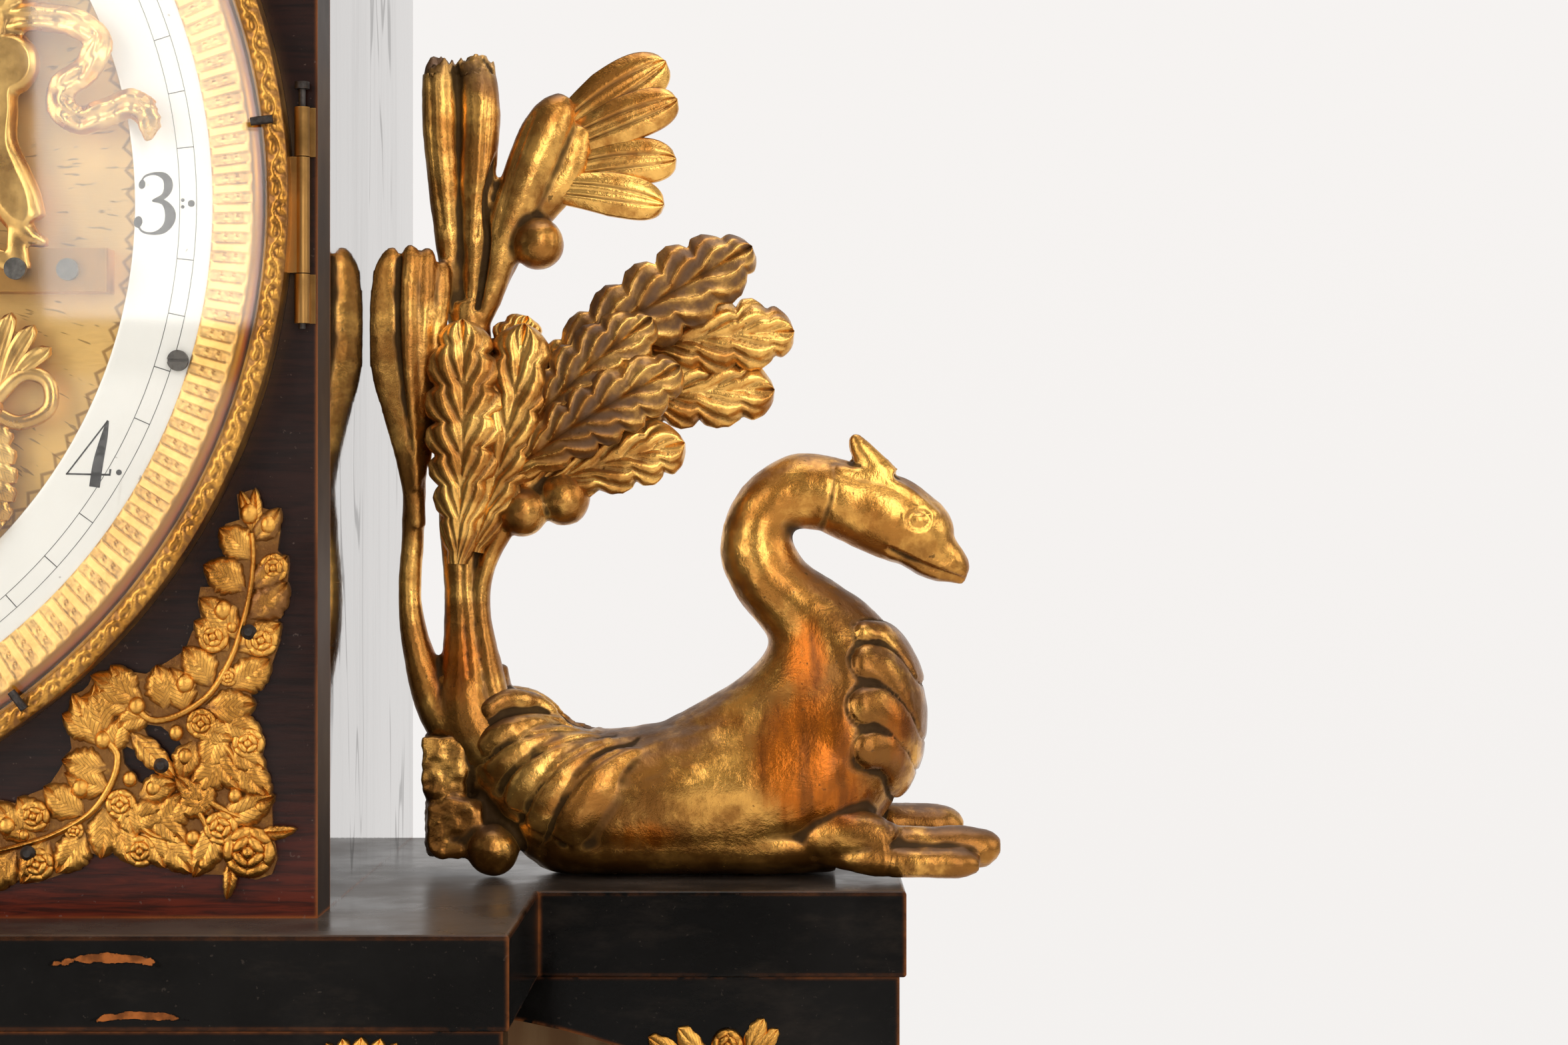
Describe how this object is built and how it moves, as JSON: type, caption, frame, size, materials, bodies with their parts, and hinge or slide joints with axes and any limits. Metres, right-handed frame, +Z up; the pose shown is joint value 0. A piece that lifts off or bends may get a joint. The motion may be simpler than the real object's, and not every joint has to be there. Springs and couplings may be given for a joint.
{
  "type": "table clock",
  "caption": "Portal table clock with a round enamel dial under a hinged domed glass, giltwood beasts on the side wings and a pendulum in the arch below.",
  "frame": {"origin": "on the floor under the middle of the clock's width and depth", "axes": "+X to the right seen from the front, the dial faces -Y, +Z up"},
  "size_m": [0.3924, 0.142, 0.447],
  "materials": {
    "ebonised_wood": "polished black stain with worn edges",
    "dark_mahogany": "dark red brown polish",
    "bare_pine": "bare softwood",
    "giltwood": "burnished water gilding over red bole, rubbed and dirty in the hollows",
    "gilt_mounts": "cast and chased gilt brass",
    "brass": "satin brass",
    "steel": "dark worn steel",
    "blued_steel": "blued steel",
    "enamel": "white glazed enamel with black numerals",
    "glass": "clear domed glass"
  },
  "bodies": {
    "case": {"feet": "ebonised_wood", "plinth": "ebonised_wood", "portal_front": "ebonised_wood", "portal_apron": "ebonised_wood", "portal_sides": "ebonised_wood", "portal_backboard": "bare_pine", "portal_mounts": "gilt_mounts", "case_side_right": "ebonised_wood", "case_side_left": "ebonised_wood", "case_top": "ebonised_wood", "cornice": "ebonised_wood", "spandrel_mounts": "gilt_mounts", "mount_pins": "steel", "sight_ring": "gilt_mounts", "dial_screws": "steel", "chapter_ring": "enamel", "figure_shelf": "brass", "case_front": "dark_mahogany", "centre_garland": "gilt_mounts", "bezel_hinge_brackets": "brass", "bezel_hinge_pin": "brass", "rear_hinge_brackets": "brass", "back_cock": "brass", "bell": "brass", "front_plate": "brass", "back_plate": "brass", "plate_pillars": "brass", "dial_plate": "brass", "beast_body_right": "giltwood", "beast_body_left": "giltwood", "beast_foliage_right": "giltwood", "beast_foliage_left": "giltwood", "beast_dowels": "bare_pine", "entablature_slab": "ebonised_wood"},
    "bezel": {"bezel_ring": "gilt_mounts", "bezel_glass": "glass", "glass_pins": "steel", "bezel_hinge_leaf": "brass"},
    "rear_door": {"rear_door": "bare_pine", "rear_hinge_leaves": "brass", "door_knob": "brass"},
    "centre_arbor": {"centre_wheel": "brass", "minute_hand": "blued_steel"},
    "hour_hand": {"hour_wheel": "brass", "hour_hand": "blued_steel"},
    "minute_wheel": {"minute_wheel": "brass"},
    "going_barrel": {"going_barrel": "brass"},
    "third_wheel": {"third_wheel": "brass"},
    "escape_wheel": {"escape_wheel": "brass"},
    "pallet_anchor": {"pallet_anchor": "steel"},
    "pendulum": {"pendulum": "brass"},
    "going_arbor": {"going_arbor": "steel"},
    "strike_arbor": {"strike_arbor": "steel"},
    "strike_barrel": {"strike_barrel": "brass"},
    "pin_wheel": {"pin_wheel": "brass"},
    "fly": {"fly": "brass"},
    "hammer": {"hammer": "steel"},
    "figure_right": {"figure_right": "gilt_mounts"},
    "figure_left": {"figure_left": "gilt_mounts"}
  },
  "joints": [
    {"name": "bezel_open", "type": "hinge", "parent": "case", "child": "bezel", "pos_m": [0.093, -0.0483, 0.3155], "axis": [0, 0, 1], "range_deg": [0, 110]},
    {"name": "rear_door_open", "type": "hinge", "parent": "case", "child": "rear_door", "pos_m": [-0.08675, 0.0667, 0.3115], "axis": [0, 0, 1], "range_deg": [0, 105]},
    {"name": "minute_hand_turn", "type": "hinge", "parent": "case", "child": "centre_arbor", "pos_m": [0, 0, 0.3155], "axis": [0, 1, 0], "continuous": true},
    {"name": "hour_hand_turn", "type": "hinge", "parent": "case", "child": "hour_hand", "pos_m": [0, 0, 0.3155], "axis": [0, 1, 0], "continuous": true},
    {"name": "minute_wheel_turn", "type": "hinge", "parent": "case", "child": "minute_wheel", "pos_m": [0.00848, 0, 0.32399], "axis": [0, 1, 0], "continuous": true},
    {"name": "going_barrel_turn", "type": "hinge", "parent": "case", "child": "going_barrel", "pos_m": [0.022, 0, 0.29707], "axis": [0, 1, 0], "continuous": true},
    {"name": "third_wheel_turn", "type": "hinge", "parent": "case", "child": "third_wheel", "pos_m": [0.0122, 0, 0.3347], "axis": [0, 1, 0], "continuous": true},
    {"name": "escape_wheel_turn", "type": "hinge", "parent": "case", "child": "escape_wheel", "pos_m": [0, 0, 0.34959], "axis": [0, 1, 0], "continuous": true},
    {"name": "pendulum_swing", "type": "hinge", "parent": "case", "child": "pendulum", "pos_m": [0, 0, 0.36939], "axis": [0, 1, 0], "range_deg": [-4, 4]},
    {"name": "anchor_rock", "type": "hinge", "parent": "case", "child": "pallet_anchor", "pos_m": [0, 0, 0.36939], "axis": [0, 1, 0], "range_deg": [-4, 4]},
    {"name": "going_wind", "type": "hinge", "parent": "case", "child": "going_arbor", "pos_m": [0.022, 0, 0.29707], "axis": [0, 1, 0], "continuous": true},
    {"name": "strike_wind", "type": "hinge", "parent": "case", "child": "strike_arbor", "pos_m": [-0.022, 0, 0.29707], "axis": [0, 1, 0], "continuous": true},
    {"name": "strike_barrel_turn", "type": "hinge", "parent": "case", "child": "strike_barrel", "pos_m": [-0.022, 0, 0.29707], "axis": [0, 1, 0], "continuous": true},
    {"name": "pin_wheel_turn", "type": "hinge", "parent": "case", "child": "pin_wheel", "pos_m": [-0.03998, 0, 0.31944], "axis": [0, 1, 0], "continuous": true},
    {"name": "fly_turn", "type": "hinge", "parent": "case", "child": "fly", "pos_m": [-0.03598, 0, 0.33827], "axis": [0, 1, 0], "continuous": true},
    {"name": "hammer_lift", "type": "hinge", "parent": "case", "child": "hammer", "pos_m": [-0.016, 0, 0.3255], "axis": [0, 1, 0], "range_deg": [-15, 0], "stiffness_Nm_per_rad": 0.012, "springref_deg": 20.05},
    {"name": "figure_right_rock", "type": "hinge", "parent": "case", "child": "figure_right", "pos_m": [0.053, 0, 0.3058], "axis": [0, 1, 0], "range_deg": [-3, 3]},
    {"name": "figure_left_rock", "type": "hinge", "parent": "case", "child": "figure_left", "pos_m": [-0.053, 0, 0.3058], "axis": [0, 1, 0], "range_deg": [-3, 3]}
  ],
  "couplings": [
    {"joint": "hour_hand_turn", "follows": "minute_hand_turn", "ratio": 0.083333},
    {"joint": "minute_wheel_turn", "follows": "minute_hand_turn", "ratio": -0.33333},
    {"joint": "going_barrel_turn", "follows": "minute_hand_turn", "ratio": -0.13889},
    {"joint": "third_wheel_turn", "follows": "minute_hand_turn", "ratio": -12},
    {"joint": "escape_wheel_turn", "follows": "minute_hand_turn", "ratio": 120},
    {"joint": "anchor_rock", "follows": "pendulum_swing", "ratio": 1},
    {"joint": "pin_wheel_turn", "follows": "strike_barrel_turn", "ratio": -7.2},
    {"joint": "fly_turn", "follows": "strike_barrel_turn", "ratio": 72},
    {"joint": "figure_left_rock", "follows": "figure_right_rock", "ratio": -1}
  ]
}
